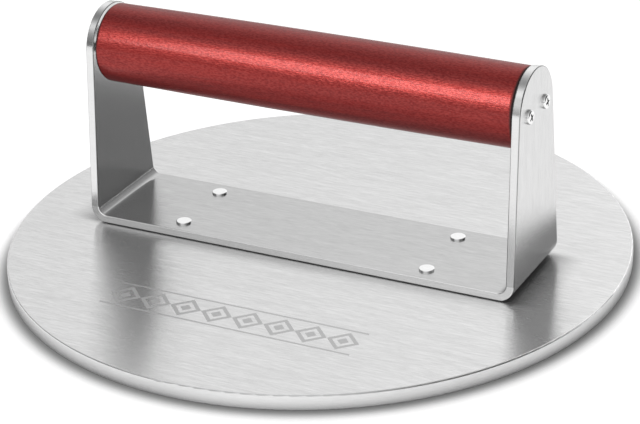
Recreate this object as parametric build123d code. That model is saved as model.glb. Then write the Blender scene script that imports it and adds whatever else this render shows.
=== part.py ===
from build123d import *
import math
import os

# A round smash-burger press in stainless steel: a flat plate, a handle bracket bent from one strip and
# riveted to the plate, and a turned wooden grip that two wood screws at each end hold between the arms.
# Millimetres. The origin is the centre of the plate's cooking face, +Z is up, and the grip runs along X.

# Press plate
PLATE_DIAMETER = 178.0
PLATE_THICKNESS = 4.5
PLATE_EDGE_ROUND = 0.4

# Handle bracket: one strip of sheet, bent up at both ends
SHEET = 2.4
BRACKET_LENGTH = 133.0
BRACKET_WIDTH = 31.8
BEND_INSIDE_RADIUS = 2.6
ARM_TOP_RADIUS = 11.7
SHEET_EDGE_ROUND = 0.28

# Wooden grip: a turned bar, a little slimmer towards its ends
GRIP_DIAMETER = 23.2
GRIP_END_DIAMETER = 22.6
GRIP_END_ROUND = 1.2
GRIP_AXIS_HEIGHT = 55.2

# Rivets: a low round head on the bracket, a tail flared flush into the cooking face
RIVET_SPACING_X = 77.0
RIVET_SPACING_Y = 21.2
RIVET_HEAD_DIAMETER = 4.4
RIVET_HEAD_HEIGHT = 0.55
RIVET_HEAD_ROUND = 0.2
RIVET_SHANK_DIAMETER = 3.0
RIVET_TAIL_DIAMETER = 4.6
RIVET_TAIL_DEPTH = 0.8

# Wood screws: cross-recessed pan heads outside the arms
SCREW_SPACING_Y = 11.2
SCREW_HEAD_DIAMETER = 4.1
SCREW_HEAD_HEIGHT = 0.95
SCREW_HEAD_ROUND = 0.5
SCREW_SHANK_DIAMETER = 2.6
SCREW_LENGTH = 16.0
SCREW_POINT_LENGTH = 3.0
SCREW_HOLE_DIAMETER = 2.9
RECESS_SPAN = 2.6
RECESS_FLOOR_SPAN = 1.0
RECESS_SLOT = 0.6
RECESS_DEPTH = 0.9
SCREW_TURNS = {"left_front": 20.0, "left_rear": 62.0, "right_front": 28.0, "right_rear": 12.0}

# Radial room that a rivet or a screw point has in its hole
HOLE_ROOM = 0.02

BASE_TOP = PLATE_THICKNESS + SHEET
ARM_OUTSIDE = BRACKET_LENGTH / 2
ARM_INSIDE = ARM_OUTSIDE - SHEET
SIDES = {"left": -1, "right": 1}
ENDS = {"front": -1, "rear": 1}
CORNERS = {f"{side}_{end}": (sx, sy) for side, sx in SIDES.items() for end, sy in ENDS.items()}


def turned(points):
    """A solid of revolution about Z from (radius, height) points that start and end on the axis."""
    outline = make_face(Plane.XZ * Polyline(*points, close=True))
    return revolve(outline, Axis.Z)


def rivet_position(corner):
    sx, sy = CORNERS[corner]
    return Pos(sx * RIVET_SPACING_X / 2, sy * RIVET_SPACING_Y / 2, 0)


def screw_position(corner):
    """The seat of a screw's head: +Z of the screw points out of the arm."""
    sx, sy = CORNERS[corner]
    seat = Pos(sx * ARM_OUTSIDE, sy * SCREW_SPACING_Y / 2, GRIP_AXIS_HEIGHT)
    return seat * Rot(0, sx * 90, 0)


def rivet_shape(room=0.0):
    """The rivet, or with room its hole: flared tail at the cooking face, then the shank."""
    shank = RIVET_SHANK_DIAMETER / 2 + room
    tail = RIVET_TAIL_DIAMETER / 2 + room
    return turned([(0, 0), (tail, 0), (shank, RIVET_TAIL_DEPTH), (shank, BASE_TOP), (0, BASE_TOP)])


def rivet():
    head = Pos(0, 0, BASE_TOP) * Cylinder(
        RIVET_HEAD_DIAMETER / 2, RIVET_HEAD_HEIGHT, align=(Align.CENTER, Align.CENTER, Align.MIN)
    )
    head = fillet(head.edges().group_by(Axis.Z)[-1], RIVET_HEAD_ROUND)
    return rivet_shape() + head


def screw_shank(room=0.0):
    """The shank below the head's seat, or with room its pilot hole, ending in a point."""
    radius = SCREW_SHANK_DIAMETER / 2 + room
    shoulder = SCREW_POINT_LENGTH - SCREW_LENGTH
    return turned([(0, 0), (radius, 0), (radius, shoulder), (0, -SCREW_LENGTH)])


def cross_recess():
    """Two crossed wedges, wide at the head's face and narrow at their floor."""
    top = SCREW_HEAD_HEIGHT
    floor = top - RECESS_DEPTH
    wedge_outline = make_face(
        Plane.XZ
        * Polyline(
            (-RECESS_SPAN / 2, top),
            (RECESS_SPAN / 2, top),
            (RECESS_FLOOR_SPAN / 2, floor),
            (-RECESS_FLOOR_SPAN / 2, floor),
            close=True,
        )
    )
    wedge = extrude(wedge_outline, RECESS_SLOT / 2, both=True)
    return wedge + Rot(0, 0, 90) * wedge


def screw(turn):
    head = Cylinder(SCREW_HEAD_DIAMETER / 2, SCREW_HEAD_HEIGHT, align=(Align.CENTER, Align.CENTER, Align.MIN))
    head = fillet(head.edges().group_by(Axis.Z)[-1], SCREW_HEAD_ROUND)
    return screw_shank() + (head - Rot(0, 0, turn) * cross_recess())


def press_plate():
    plate = Cylinder(
        PLATE_DIAMETER / 2, PLATE_THICKNESS, align=(Align.CENTER, Align.CENTER, Align.MIN)
    )
    plate = fillet(plate.edges().filter_by(GeomType.CIRCLE), PLATE_EDGE_ROUND)
    for corner in CORNERS:
        plate -= rivet_position(corner) * rivet_shape(HOLE_ROOM)
    return plate


def strip_profile():
    """The bracket's U seen along Y, inside and outside bends concentric."""
    top = GRIP_AXIS_HEIGHT + 2 * ARM_TOP_RADIUS
    outer = Pos(0, (PLATE_THICKNESS + top) / 2) * Rectangle(BRACKET_LENGTH, top - PLATE_THICKNESS)
    inner = Pos(0, (BASE_TOP + top) / 2) * Rectangle(2 * ARM_INSIDE, top - BASE_TOP)
    outer = fillet(outer.vertices().group_by(Axis.Y)[0], BEND_INSIDE_RADIUS + SHEET)
    inner = fillet(inner.vertices().group_by(Axis.Y)[0], BEND_INSIDE_RADIUS)
    return outer - inner


def arm_outline():
    """The bracket seen along X: square at the base, then straight sides that run tangent to a round top."""
    half = BRACKET_WIDTH / 2
    rise = GRIP_AXIS_HEIGHT - BASE_TOP
    distance = math.hypot(half, rise)
    tangent = math.acos(ARM_TOP_RADIUS / distance) - math.atan2(rise, half)
    touch_y = ARM_TOP_RADIUS * math.cos(tangent)
    touch_z = GRIP_AXIS_HEIGHT + ARM_TOP_RADIUS * math.sin(tangent)
    sides = Polyline(
        (-touch_y, touch_z),
        (-half, BASE_TOP),
        (-half, PLATE_THICKNESS),
        (half, PLATE_THICKNESS),
        (half, BASE_TOP),
        (touch_y, touch_z),
    )
    crown = ThreePointArc(
        (touch_y, touch_z), (0, GRIP_AXIS_HEIGHT + ARM_TOP_RADIUS), (-touch_y, touch_z)
    )
    return make_face(Curve() + [sides, crown])


def handle_bracket():
    strip = extrude(Plane.XZ * strip_profile(), BRACKET_WIDTH, both=True)
    outline = extrude(Plane.YZ * arm_outline(), BRACKET_LENGTH, both=True)
    bracket = strip & outline
    bracket = fillet(bracket.edges(), SHEET_EDGE_ROUND)
    screw_hole = Cylinder(SCREW_HOLE_DIAMETER / 2, 3 * SHEET)
    for corner in CORNERS:
        bracket -= rivet_position(corner) * rivet_shape(HOLE_ROOM)
        bracket -= screw_position(corner) * screw_hole
    return bracket


def wooden_grip():
    """A bar turned along X; its side is one long shallow arc, rounded over at both ends."""
    end = ARM_INSIDE
    middle_radius = GRIP_DIAMETER / 2
    end_radius = GRIP_END_DIAMETER / 2
    side = ThreePointArc((-end, end_radius), (0, middle_radius), (end, end_radius))
    ends_and_axis = Polyline((end, end_radius), (end, 0), (-end, 0), (-end, end_radius))
    bar = revolve(make_face(Plane.XZ * (Curve() + [side, ends_and_axis])), Axis.X)
    bar = fillet(bar.edges().filter_by(GeomType.CIRCLE), GRIP_END_ROUND)
    bar = Pos(0, 0, GRIP_AXIS_HEIGHT) * bar
    for corner in CORNERS:
        bar -= screw_position(corner) * screw_shank(HOLE_ROOM)
    return bar


def all_parts():
    parts = {
        "press_plate": press_plate(),
        "handle_bracket": handle_bracket(),
        "wooden_grip": wooden_grip(),
    }
    for corner in CORNERS:
        parts[f"rivet_{corner}"] = rivet_position(corner) * rivet()
        parts[f"screw_{corner}"] = screw_position(corner) * screw(SCREW_TURNS[corner])
    return parts


os.makedirs("parts", exist_ok=True)
for name, shape in all_parts().items():
    shape.label = name
    export_step(shape, f"parts/{name}.step")
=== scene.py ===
import math

import bpy
from mathutils import Matrix, Vector


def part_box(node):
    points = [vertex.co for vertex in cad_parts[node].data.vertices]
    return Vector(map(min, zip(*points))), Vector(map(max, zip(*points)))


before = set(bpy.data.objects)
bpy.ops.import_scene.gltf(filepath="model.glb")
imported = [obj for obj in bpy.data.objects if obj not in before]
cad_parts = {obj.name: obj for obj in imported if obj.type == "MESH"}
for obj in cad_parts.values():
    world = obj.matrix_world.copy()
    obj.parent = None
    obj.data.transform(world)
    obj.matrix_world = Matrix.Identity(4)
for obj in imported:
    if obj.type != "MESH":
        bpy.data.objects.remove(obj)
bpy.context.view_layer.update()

MM = 0.001
CORNERS = [f"{side}_{end}" for side in ("left", "right") for end in ("front", "rear")]

# Places read from the frame
_, plate_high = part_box("press_plate")
_, bracket_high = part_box("handle_bracket")
grip_low, grip_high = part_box("wooden_grip")
PLATE_RADIUS = plate_high.x
PLATE_TOP = plate_high.z
ARM_OUTSIDE = bracket_high.x
ARM_INSIDE = grip_high.x
SHEET = ARM_OUTSIDE - ARM_INSIDE
GRIP_AXIS = (grip_low.z + grip_high.z) / 2
BEND_TOP = PLATE_TOP + 2 * SHEET

# The etched band on the plate, in front of the handle
BAND_PITCH = 9.5 * MM
BAND_COUNT = 8
BAND_HEIGHT = 9.6 * MM
BAND_PLACE = 52 * MM

# How far below the plate's top a point still counts as on it
TOP_SKIN = 0.1 * MM

# Painted shade: a dark line where the bracket's edge meets the plate, with its width on the plate and its
# height on the edge
SEAM_WIDTH = 0.7 * MM
SEAM_HEIGHT = 0.35 * MM
SEAM_DEPTH = 0.8
SEAM_TONE = 0.10
SEAM_ROUGHNESS = 0.6

# Painted shade: the soft dark patch on the plate beyond each bend
PATCH_REACH = 10 * MM
PATCH_DEPTH = 0.75
PATCH_BORDER = 1.5 * MM

# Painted shade: the grip is dark against each arm, from here to there before its end
CREVICE_FROM = 1.2 * MM
CREVICE_FULL = 0.4 * MM

# Screw heads: their height on the arm, and the width and depth of the painted shade in the driver recess
SCREW_HEAD = 0.95 * MM
RECESS_RADIUS = 1.4 * MM
RECESS_FROM = 0.25 * MM

# A face counts as flat when its normal's part along the square direction is over this
FLAT = 0.985

# Steel tones and roughness
FACE_ANISOTROPY = 0.95
PLATE_FACE_TONE, PLATE_FACE_ROUGHNESS = 0.78, 0.25
PLATE_RIM_TONE, PLATE_RIM_ROUGHNESS, PLATE_RIM_ANISOTROPY = 0.86, 0.30, 0.9
PLATE_EDGE_TONE, PLATE_EDGE_ROUGHNESS = 0.86, 0.28
ETCHED_TONE, ETCHED_ROUGHNESS = 0.60, 0.5
# The bracket's base and arms are one strip of steel: their different face and edge tones are painted light
# and shade
BASE_FACE_TONE, ARM_FACE_TONE, BRACKET_FACE_ROUGHNESS = 0.60, 0.69, 0.24
BASE_EDGE_TONE, ARM_EDGE_TONE, BRACKET_EDGE_ROUGHNESS = 0.97, 0.74, 0.18
# Painted shade along the arms' rounded corners
CORNER_SHADE_TONE, CORNER_SHADE_ROUGHNESS = 0.30, 0.35
RIVET_TONE, RIVET_ROUGHNESS = 0.84, 0.14
SCREW_TONE, RECESS_SHADE_TONE, SCREW_ROUGHNESS = 0.86, 0.08, 0.18

# Wood colours
STAIN_DARK = (0.046, 0.006, 0.009, 1)
STAIN_RED = (0.190, 0.011, 0.010, 1)
SHEEN_DARK = (0.48, 0.040, 0.034, 1)
SHEEN_BRIGHT = (0.88, 0.13, 0.108, 1)
# Painted shade at each end of the grip
CREVICE_SHADE_COLOR = (0.012, 0.004, 0.004, 1)
SHEEN_SHARE = 0.25
VARNISH = {"Coat Weight": 0.26, "Coat Roughness": 0.13, "Coat IOR": 1.42}


# ---------------------------------------------------------------- node helpers

def new_material(name):
    material = bpy.data.materials.new(name)
    material.use_nodes = True
    material.node_tree.nodes.clear()
    return material, material.node_tree


def node(tree, kind, inputs=None, **settings):
    """Adds a node; inputs are values or sockets by name or number, settings are its properties."""
    made = tree.nodes.new("ShaderNode" + kind)
    for key, value in settings.items():
        setattr(made, key, value)
    for key, value in (inputs or {}).items():
        socket = made.inputs[key]
        if isinstance(value, bpy.types.NodeSocket):
            tree.links.new(value, socket)
        else:
            socket.default_value = value
    return made


def maths(tree, operation, *values, clamp=False):
    made = node(tree, "Math", dict(enumerate(values)), operation=operation, use_clamp=clamp)
    return made.outputs[0]


def vector_maths(tree, operation, *values):
    made = node(tree, "VectorMath", dict(enumerate(values)), operation=operation)
    return made.outputs["Value" if operation in ("DOT_PRODUCT", "LENGTH") else "Vector"]


def ramp(tree, value, low, high, to_low=0.0, to_high=1.0, smooth=True):
    """value from low..high becomes to_low..to_high, clamped."""
    made = node(
        tree, "MapRange",
        {"Value": value, "From Min": low, "From Max": high, "To Min": to_low, "To Max": to_high},
        interpolation_type="SMOOTHSTEP" if smooth else "LINEAR",
    )
    return made.outputs["Result"]


def mix(tree, factor, a, b, kind):
    """Something between a and b; kind is VECTOR or RGBA."""
    made = node(tree, "Mix", data_type=kind)
    for key, value in (("Factor", factor), ("A", a), ("B", b)):
        socket = next(s for s in made.inputs if s.enabled and s.name == key)
        if isinstance(value, bpy.types.NodeSocket):
            tree.links.new(value, socket)
        else:
            socket.default_value = value
    return next(s for s in made.outputs if s.enabled)


def grey(tone):
    return (tone, tone, tone, 1)


def plain_shader(tree, tone, roughness, metallic=1.0):
    """One grey tone and roughness, with no texture."""
    values = {"Base Color": grey(tone), "Metallic": metallic, "Roughness": roughness}
    return node(tree, "BsdfPrincipled", values).outputs["BSDF"]


def blend(tree, factor, first, second):
    """The first shader where factor is 0 and the second where it is 1."""
    return node(tree, "MixShader", {0: factor, 1: first, 2: second}).outputs[0]


def stretched_noise(tree, place, across, along, detail=2.0, seed=0.0, roughness=0.5):
    """Noise in streaks: place is in metres with its X along the streaks; sizes are in metres."""
    scaled = vector_maths(tree, "MULTIPLY", place, (1 / along, 1 / across, 1 / across))
    moved = vector_maths(tree, "ADD", scaled, (seed, 2.7 * seed, 1.3 * seed))
    made = node(tree, "TexNoise", {"Vector": moved, "Scale": 1.0, "Detail": detail, "Roughness": roughness})
    return made.outputs["Fac"]


# ---------------------------------------------------------------- brushed steel

def streaks(tree, place):
    """Fine, medium and broad brush streaks, each from 0 to 1 about a middle of 0.5."""
    fine = stretched_noise(tree, place, 0.14 * MM, 2.4 * MM, detail=2.0, seed=3.1)
    medium = stretched_noise(tree, place, 0.36 * MM, 5.5 * MM, detail=2.0, seed=8.4)
    broad = stretched_noise(tree, place, 2.6 * MM, 34 * MM, detail=1.0, seed=15.7)
    return fine, medium, broad


def steel_shader(tree, place, across, color, roughness, anisotropy, contrast=1.0, bump=1.0):
    """Brushed steel: place runs along the strokes in X, and light spreads across them, along across."""
    fine, medium, broad = streaks(tree, place)
    shade = maths(tree, "ADD", maths(tree, "MULTIPLY", fine, 0.40), maths(tree, "MULTIPLY", medium, 0.45))
    shade = maths(tree, "ADD", shade, maths(tree, "MULTIPLY", broad, 0.15))
    brightness = ramp(tree, shade, 0.25, 0.75, 1 - 0.13 * contrast, 1 + 0.10 * contrast, smooth=False)
    tinted = node(tree, "VectorMath", {"Vector": color, "Scale": brightness}, operation="SCALE")
    rougher, smoother = roughness * (1 + 0.18 * contrast), roughness * (1 - 0.18 * contrast)
    rough = ramp(tree, shade, 0.25, 0.75, rougher, smoother, smooth=False)
    height = maths(tree, "ADD", fine, maths(tree, "MULTIPLY", medium, 1.4))
    relief = node(tree, "Bump", {"Height": height, "Strength": 0.5 * bump, "Distance": 0.006 * MM})
    shader = node(tree, "BsdfPrincipled", {
        "Base Color": tinted.outputs["Vector"], "Metallic": 1.0, "Roughness": rough,
        "Anisotropic": anisotropy, "Tangent": across, "Normal": relief.outputs["Normal"],
    })
    return shader.outputs["BSDF"]


def between(tree, value, low, high, softness):
    """1 where value is between low and high, with soft ends."""
    rise = ramp(tree, value, low, low + softness)
    fall = ramp(tree, value, high, high + softness, 1.0, 0.0)
    return maths(tree, "MULTIPLY", rise, fall)


def on_plate_top(tree, parts):
    return maths(tree, "GREATER_THAN", parts.outputs["Z"], PLATE_TOP - TOP_SKIN)


def etched_band(tree, parts):
    """Where the plate's top is etched: a chain of lozenges with solid hearts, between two border lines."""
    half_length = BAND_PITCH * BAND_COUNT / 2
    along = maths(tree, "ADD", parts.outputs["X"], half_length)
    cell = maths(tree, "SUBTRACT", maths(tree, "FRACT", maths(tree, "DIVIDE", along, BAND_PITCH)), 0.5)
    sideways = maths(tree, "DIVIDE", maths(tree, "ABSOLUTE", cell), 0.5)
    offset = maths(tree, "ABSOLUTE", maths(tree, "ADD", parts.outputs["Y"], BAND_PLACE))
    upwards = maths(tree, "DIVIDE", offset, BAND_HEIGHT / 2)
    spread = maths(tree, "ADD", sideways, upwards)
    outline = between(tree, spread, 0.66, 0.98, 0.04)
    heart = ramp(tree, spread, 0.34, 0.38, 1.0, 0.0)
    border = between(tree, upwards, 1.16, 1.30, 0.02)
    pattern = maths(tree, "MAXIMUM", maths(tree, "MAXIMUM", outline, heart), border)
    reach = maths(tree, "LESS_THAN", maths(tree, "ABSOLUTE", parts.outputs["X"]), half_length)
    return maths(tree, "MULTIPLY", maths(tree, "MULTIPLY", pattern, reach), on_plate_top(tree, parts))


def painted_shade_by_bracket(tree, parts):
    """Painted shade on the plate's top: a narrow dark line by the bracket's long edges, and a soft dark patch
    by each bend.
    """
    outward = maths(tree, "ABSOLUTE", parts.outputs["X"])
    beyond = maths(tree, "SUBTRACT", maths(tree, "ABSOLUTE", parts.outputs["Y"]), bracket_high.y)
    line = ramp(tree, beyond, 0.0, SEAM_WIDTH, SEAM_DEPTH, 0.0)
    line = maths(tree, "MULTIPLY", line, maths(tree, "LESS_THAN", outward, ARM_OUTSIDE - 2 * SHEET))
    patch = ramp(tree, outward, ARM_OUTSIDE - 2 * SHEET, ARM_OUTSIDE + PATCH_REACH, PATCH_DEPTH, 0.0)
    patch = maths(tree, "MULTIPLY", patch, ramp(tree, beyond, -PATCH_BORDER, PATCH_BORDER, 1.0, 0.0))
    return maths(tree, "MULTIPLY", maths(tree, "MAXIMUM", line, patch), on_plate_top(tree, parts))


def plate_steel():
    """Straight brushing along X on both faces, a turned rim, and a plain polished rounding between them."""
    material, tree = new_material("plate_steel")
    geometry = node(tree, "NewGeometry")
    place = geometry.outputs["Position"]
    upward = vector_maths(tree, "DOT_PRODUCT", geometry.outputs["Normal"], (0, 0, 1))
    flatness = maths(tree, "ABSOLUTE", upward)
    parts = node(tree, "SeparateXYZ", {"Vector": place})
    angle = maths(tree, "ARCTAN2", parts.outputs["Y"], parts.outputs["X"])
    around = maths(tree, "MULTIPLY", angle, PLATE_RADIUS)
    rim_place = node(tree, "CombineXYZ", {"X": around, "Y": parts.outputs["Z"]}).outputs[0]
    along_y = node(tree, "CombineXYZ", {"Y": 1.0}).outputs[0]
    along_z = node(tree, "CombineXYZ", {"Z": 1.0}).outputs[0]
    face = steel_shader(tree, place, along_y, (PLATE_FACE_TONE,) * 3, PLATE_FACE_ROUGHNESS, FACE_ANISOTROPY)
    rim = steel_shader(tree, rim_place, along_z, (PLATE_RIM_TONE,) * 3, PLATE_RIM_ROUGHNESS,
                       PLATE_RIM_ANISOTROPY, contrast=0.6, bump=0.4)
    edge = plain_shader(tree, PLATE_EDGE_TONE, PLATE_EDGE_ROUGHNESS)
    etched = plain_shader(tree, ETCHED_TONE, ETCHED_ROUGHNESS)
    seam_shade = plain_shader(tree, SEAM_TONE, SEAM_ROUGHNESS, metallic=0.0)
    face = blend(tree, etched_band(tree, parts), face, etched)
    # Painted shade on the plate: a dark line by the bracket's long edges and a dark patch beyond each bend
    face = blend(tree, painted_shade_by_bracket(tree, parts), face, seam_shade)
    shader = blend(tree, maths(tree, "GREATER_THAN", flatness, FLAT), edge, face)
    shader = blend(tree, maths(tree, "LESS_THAN", flatness, 0.10), shader, rim)
    node(tree, "OutputMaterial", {"Surface": shader})
    return material


def bracket_steel():
    """Brushing that follows the strip up both arms, polished cut edges, and painted shade as dark lines on
    them.
    """
    material, tree = new_material("bracket_steel")
    geometry = node(tree, "NewGeometry")
    place = geometry.outputs["Position"]
    along_y = node(tree, "CombineXYZ", {"Y": 1.0}).outputs[0]
    parts = node(tree, "SeparateXYZ", {"Vector": place})
    facing = node(tree, "SeparateXYZ", {"Vector": geometry.outputs["Normal"]})
    side = maths(tree, "ABSOLUTE", facing.outputs["X"])
    front = maths(tree, "ABSOLUTE", facing.outputs["Y"])
    upright = maths(tree, "GREATER_THAN", side, 0.7)
    arm_place = node(tree, "CombineXYZ", {
        "X": parts.outputs["Z"], "Y": parts.outputs["Y"], "Z": parts.outputs["X"]}).outputs[0]
    strip_place = mix(tree, upright, place, arm_place, "VECTOR")
    # Painted light and shade: the arms' faces lighter than the base's, though it is one steel
    face_tone = mix(tree, upright, grey(BASE_FACE_TONE), grey(ARM_FACE_TONE), "RGBA")
    face = steel_shader(tree, strip_place, along_y, face_tone, BRACKET_FACE_ROUGHNESS, FACE_ANISOTROPY)
    on_arm = maths(tree, "GREATER_THAN", parts.outputs["Z"], BEND_TOP)
    # Painted light and shade: the arms' cut edges darker than the base's, though it is one steel
    edge_tone = mix(tree, on_arm, grey(BASE_EDGE_TONE), grey(ARM_EDGE_TONE), "RGBA")
    edge = steel_shader(tree, place, along_y, edge_tone, BRACKET_EDGE_ROUGHNESS, 0.0, contrast=0.4, bump=0.2)
    not_flat = maths(tree, "LESS_THAN", side, FLAT)
    round_top = maths(tree, "MULTIPLY", on_arm, not_flat)
    cut = maths(tree, "MAXIMUM", maths(tree, "GREATER_THAN", front, 0.17), round_top)
    shader = blend(tree, cut, face, edge)
    # Painted shade: a dark line along the rounded corner between each arm's faces and its cut edge
    corner = maths(tree, "MULTIPLY", maths(tree, "GREATER_THAN", side, 0.25), round_top)
    shader = blend(tree, corner, shader, plain_shader(tree, CORNER_SHADE_TONE, CORNER_SHADE_ROUGHNESS))
    # Painted shade: a dark line at the foot of the long cut edges, where they meet the plate
    low = maths(tree, "LESS_THAN", parts.outputs["Z"], PLATE_TOP + SEAM_HEIGHT)
    seam_shade = plain_shader(tree, SEAM_TONE, SEAM_ROUGHNESS, metallic=0.0)
    shader = blend(tree, maths(tree, "MULTIPLY", cut, low), shader, seam_shade)
    node(tree, "OutputMaterial", {"Surface": shader})
    return material


def screw_steel(corner):
    """Satin steel, with painted shade inside the driver recess; one material for each screw, centred on it.
    """
    low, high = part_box(f"screw_{corner}")
    material, tree = new_material(f"screw_steel_{corner}")
    parts = node(tree, "SeparateXYZ", {"Vector": node(tree, "NewGeometry").outputs["Position"]})
    across = maths(tree, "SUBTRACT", parts.outputs["Y"], (low.y + high.y) / 2)
    up = maths(tree, "SUBTRACT", parts.outputs["Z"], (low.z + high.z) / 2)
    squares = [maths(tree, "POWER", value, 2.0) for value in (across, up)]
    radius = maths(tree, "SQRT", maths(tree, "ADD", *squares))
    depth = maths(tree, "SUBTRACT", ARM_OUTSIDE + SCREW_HEAD, maths(tree, "ABSOLUTE", parts.outputs["X"]))
    # Painted shade: dark inside the driver recess
    near_axis = maths(tree, "LESS_THAN", radius, RECESS_RADIUS)
    inside = maths(tree, "MULTIPLY", near_axis, ramp(tree, depth, RECESS_FROM * 0.5, RECESS_FROM))
    tint = mix(tree, inside, grey(SCREW_TONE), grey(RECESS_SHADE_TONE), "RGBA")
    shader = node(tree, "BsdfPrincipled", {"Base Color": tint, "Metallic": 1.0, "Roughness": SCREW_ROUGHNESS})
    node(tree, "OutputMaterial", {"Surface": shader.outputs["BSDF"]})
    return material


def plain_steel(name, color, roughness):
    """The rivets: satin steel with faint mottling."""
    material, tree = new_material(name)
    place = node(tree, "NewGeometry").outputs["Position"]
    cloud = node(tree, "TexNoise", {"Vector": place, "Scale": 900.0, "Detail": 3.0}).outputs["Fac"]
    rough = ramp(tree, cloud, 0.3, 0.7, roughness * 0.8, roughness * 1.25)
    relief = node(tree, "Bump", {"Height": cloud, "Strength": 0.15, "Distance": 0.01 * MM})
    shader = node(tree, "BsdfPrincipled", {
        "Base Color": color, "Metallic": 1.0, "Roughness": rough, "Normal": relief.outputs["Normal"],
    })
    node(tree, "OutputMaterial", {"Surface": shader.outputs["BSDF"]})
    return material


# ---------------------------------------------------------------- stained wood

def stained_wood():
    """Red stain over fine straight grain, with a metallic red sheen mixed in, under a thin varnish, and
    painted shade at each end against the arm.
    """
    material, tree = new_material("stained_wood")
    place = node(tree, "NewGeometry").outputs["Position"]
    bands = stretched_noise(tree, place, 2.6 * MM, 70 * MM, detail=3.0, seed=2.0)
    fibres = stretched_noise(tree, place, 0.28 * MM, 3.2 * MM, detail=3.0, seed=5.0)
    flecks = stretched_noise(tree, place, 0.30 * MM, 0.9 * MM, detail=2.0, seed=9.0)
    stain = mix(tree, ramp(tree, bands, 0.3, 0.7, 0.35, 0.75), STAIN_DARK, STAIN_RED, "RGBA")
    stain = mix(tree, ramp(tree, fibres, 0.50, 0.70, 0.0, 0.45), stain, STAIN_DARK, "RGBA")
    height = maths(tree, "ADD", fibres, maths(tree, "MULTIPLY", flecks, 1.2))
    relief = node(tree, "Bump", {"Height": height, "Strength": 0.6, "Distance": 0.06 * MM})
    varnish_relief = node(tree, "Bump", {"Height": flecks, "Strength": 0.2, "Distance": 0.02 * MM})
    shared = {"Normal": relief.outputs["Normal"], "Coat Normal": varnish_relief.outputs["Normal"], **VARNISH}
    body = node(tree, "BsdfPrincipled", {
        "Base Color": stain, "Roughness": 0.5, "IOR": 1.4, "Specular IOR Level": 0.15, **shared})
    sheen_color = mix(tree, ramp(tree, flecks, 0.35, 0.65), SHEEN_DARK, SHEEN_BRIGHT, "RGBA")
    sheen = node(tree, "BsdfPrincipled", {
        "Base Color": sheen_color, "Metallic": 1.0, "Roughness": 0.33, **shared})
    shader = blend(tree, SHEEN_SHARE, body.outputs["BSDF"], sheen.outputs["BSDF"])
    # Painted shade: the grip goes dark towards each end, against the arm
    crevice_shade = node(tree, "BsdfPrincipled", {"Base Color": CREVICE_SHADE_COLOR, "Roughness": 0.6})
    outward = maths(tree, "ABSOLUTE", node(tree, "SeparateXYZ", {"Vector": place}).outputs["X"])
    at_end = ramp(tree, outward, ARM_INSIDE - CREVICE_FROM, ARM_INSIDE - CREVICE_FULL)
    shader = blend(tree, at_end, shader, crevice_shade.outputs["BSDF"])
    node(tree, "OutputMaterial", {"Surface": shader})
    return material


def dress(name, material):
    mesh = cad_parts[name].data
    mesh.materials.clear()
    mesh.materials.append(material)


dress("press_plate", plate_steel())
dress("handle_bracket", bracket_steel())
dress("wooden_grip", stained_wood())
# The steel doesn't mirror the red grip, which would tint it
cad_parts["wooden_grip"].visible_glossy = False
rivet_finish = plain_steel("rivet_steel", grey(RIVET_TONE), RIVET_ROUGHNESS)
for corner in CORNERS:
    dress(f"rivet_{corner}", rivet_finish)
    dress(f"screw_{corner}", screw_steel(corner))


# ---------------------------------------------------------------- floor, light and camera

def direction(bearing, height):
    """A unit vector: bearing in degrees from -Y towards +X, height in degrees above the floor."""
    turn, rise = math.radians(bearing), math.radians(height)
    return Vector((math.sin(turn) * math.cos(rise), -math.cos(turn) * math.cos(rise), math.sin(rise)))


# The floor's half width
FLOOR_HALF = 3.0
# The floor's own glow keeps it white; it is weaker in a narrow ring beside the plate, as painted shadow
GLOW_NEAR, GLOW_FAR = 0.05, 0.62
GLOW_FULL = 7 * MM
# The floor's tone, and the painted contact shadow that darkens it right beside the plate
FLOOR_TONE = 0.92
CONTACT_TONE, CONTACT_REACH = 0.30, 4.5 * MM


def pale_floor():
    """Pale paper, with a painted contact shadow round the plate."""
    corners = [(x * FLOOR_HALF, y * FLOOR_HALF, 0) for x, y in ((-1, -1), (1, -1), (1, 1), (-1, 1))]
    mesh = bpy.data.meshes.new("floor")
    mesh.from_pydata(corners, [], [(0, 1, 2, 3)])
    floor = bpy.data.objects.new("floor", mesh)
    bpy.context.scene.collection.objects.link(floor)
    material, tree = new_material("floor_paper")
    place = node(tree, "NewGeometry").outputs["Position"]
    distance = maths(tree, "SUBTRACT", vector_maths(tree, "LENGTH", place), PLATE_RADIUS)
    # Painted contact shadow: the glow is weaker and the paper darker right beside the plate
    glow = ramp(tree, distance, 0.0, GLOW_FULL, GLOW_NEAR, GLOW_FAR)
    paper = ramp(tree, distance, 0.0, CONTACT_REACH, CONTACT_TONE, FLOOR_TONE)
    shader = node(tree, "BsdfPrincipled", {
        "Base Color": paper, "Roughness": 0.9,
        "Emission Color": (1, 1, 1, 1), "Emission Strength": glow,
    })
    node(tree, "OutputMaterial", {"Surface": shader.outputs["BSDF"]})
    mesh.materials.append(material)


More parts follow.
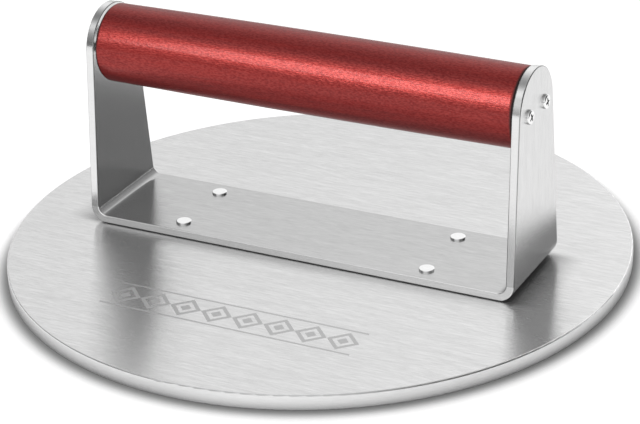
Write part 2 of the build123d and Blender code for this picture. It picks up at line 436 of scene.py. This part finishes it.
def studio_world():
    """A dark studio with soft lights all round it."""
    # Each light's bearing and height in degrees, its tightness and its strength
    lights = [
        (225, 15, 20, 0.64),
        (180, 8, 14, 1.5),
        (150, 8, 14, 0.2),
        (195, 38, 10, 0.70),
        (225, 38, 12, 0.42),
        (180, 68, 10, 0.28),
        (0, 90, 10, 0.35),
        (0, 8, 14, 0.9),
        (345, 27, 34, 0.75),
        (322, 50, 24, 1.1),
        (275, 28, 20, 0.6),
        (20, 30, 14, 0.9),
        (22, 62, 20, 0.7),
        (50, 18, 12, 0.5),
    ]
    world = bpy.data.worlds.new("studio")
    bpy.context.scene.world = world
    world.use_nodes = True
    tree = world.node_tree
    tree.nodes.clear()
    toward = node(tree, "TexCoord").outputs["Generated"]
    total = 0.0
    for bearing, height, tightness, strength in lights:
        cosine = vector_maths(tree, "DOT_PRODUCT", toward, direction(bearing, height))
        exponent = maths(tree, "MULTIPLY", maths(tree, "SUBTRACT", cosine, 1.0), tightness)
        falloff = maths(tree, "EXPONENT", exponent)
        total = maths(tree, "ADD", total, maths(tree, "MULTIPLY", falloff, strength))
    light = node(tree, "Background", {"Color": (1, 1, 1, 1), "Strength": total})
    node(tree, "OutputWorld", {"Surface": light.outputs["Background"]})


SOFTBOX_SIZE = (0.42, 0.30)
SOFTBOX_WATTS = 3.0
SOFTBOX_DISTANCE = 0.8
SOFTBOX_BEARING, SOFTBOX_HEIGHT = 338, 31


def grip_light():
    """A softbox at the front left that only the grip sees, for the long highlight on it."""
    data = bpy.data.lights.new("grip_softbox", "AREA")
    data.shape = "RECTANGLE"
    data.size, data.size_y = SOFTBOX_SIZE
    data.energy = SOFTBOX_WATTS
    light = bpy.data.objects.new("grip_softbox", data)
    bpy.context.scene.collection.objects.link(light)
    target = Vector((0, 0, GRIP_AXIS))
    light.location = target + direction(SOFTBOX_BEARING, SOFTBOX_HEIGHT) * SOFTBOX_DISTANCE
    light.rotation_euler = (target - light.location).to_track_quat("-Z", "Y").to_euler()
    seen_by = bpy.data.collections.new("grip_softbox_lights")
    seen_by.objects.link(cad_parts["wooden_grip"])
    light.light_linking.receiver_collection = seen_by


# The camera: its bearing and height from the object, its roll, and its lens on a 36 mm sensor
CAMERA_BEARING = 27.555
CAMERA_HEIGHT = 25.918
CAMERA_ROLL = -2.175
CAMERA_DISTANCE = 636.71 * MM
CAMERA_TARGET = Vector((11.193, -12.104, 19.722)) * MM
CAMERA_LENS = 129.341
CAMERA_SHIFT = (-0.02172, 0.00172)


def photo_camera():
    data = bpy.data.cameras.new("camera")
    camera = bpy.data.objects.new("camera", data)
    bpy.context.scene.collection.objects.link(camera)
    back = direction(CAMERA_BEARING, CAMERA_HEIGHT)
    right = (-back).cross(Vector((0, 0, 1))).normalized()
    up = back.cross(right)
    turn = Matrix.Rotation(math.radians(CAMERA_ROLL), 3, back)
    right, up = turn @ right, turn @ up
    axes = Matrix((right, up, back)).transposed()
    camera.matrix_world = Matrix.Translation(CAMERA_TARGET + back * CAMERA_DISTANCE) @ axes.to_4x4()
    data.sensor_width = 36.0
    data.lens = CAMERA_LENS
    data.shift_x, data.shift_y = CAMERA_SHIFT
    data.clip_start, data.clip_end = 0.01, 20
    bpy.context.scene.camera = camera


pale_floor()
studio_world()
grip_light()
photo_camera()
bpy.context.scene.view_settings.view_transform = "Standard"
